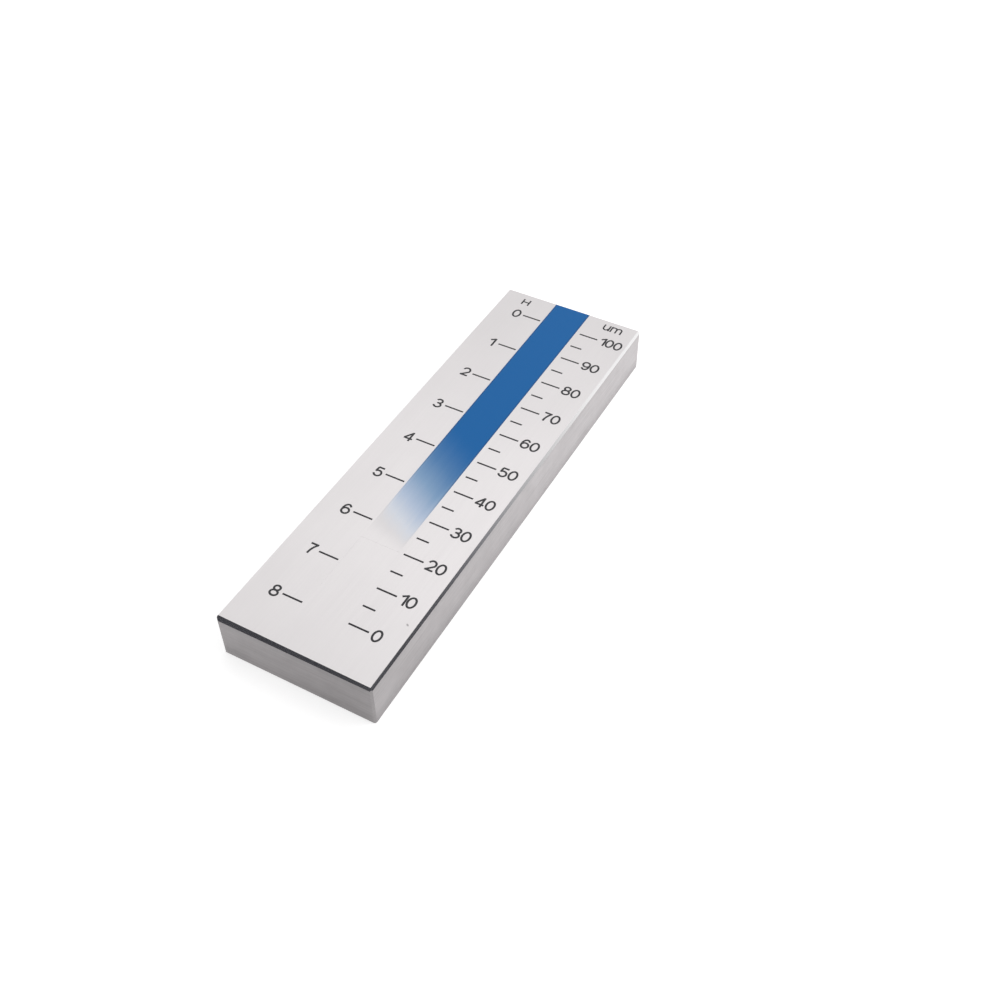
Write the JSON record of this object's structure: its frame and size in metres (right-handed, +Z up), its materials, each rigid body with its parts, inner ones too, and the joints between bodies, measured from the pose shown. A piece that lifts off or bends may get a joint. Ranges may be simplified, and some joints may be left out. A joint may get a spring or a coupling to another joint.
{
  "type": "fineness of grind gauge",
  "caption": "Flat ground steel gauge block with a shallow tapered channel and engraved scales, for reading how finely a paint is ground.",
  "frame": {"origin": "centre of the bottom face", "axes": "+X across the block towards the micrometre scale, +Y along it towards the deep, open end of the channel, +Z up out of the measuring face"},
  "size_m": [0.05, 0.1666, 0.0153],
  "materials": {
    "ground_steel": "finely ground and lapped",
    "black_filling": "matt black filling",
    "blue_paint": "even blue paint film that pales as it thins"
  },
  "bodies": {
    "root": {"gauge_block": "ground_steel", "mark_filling": "black_filling", "paint_film": "blue_paint"}
  },
  "joints": []
}
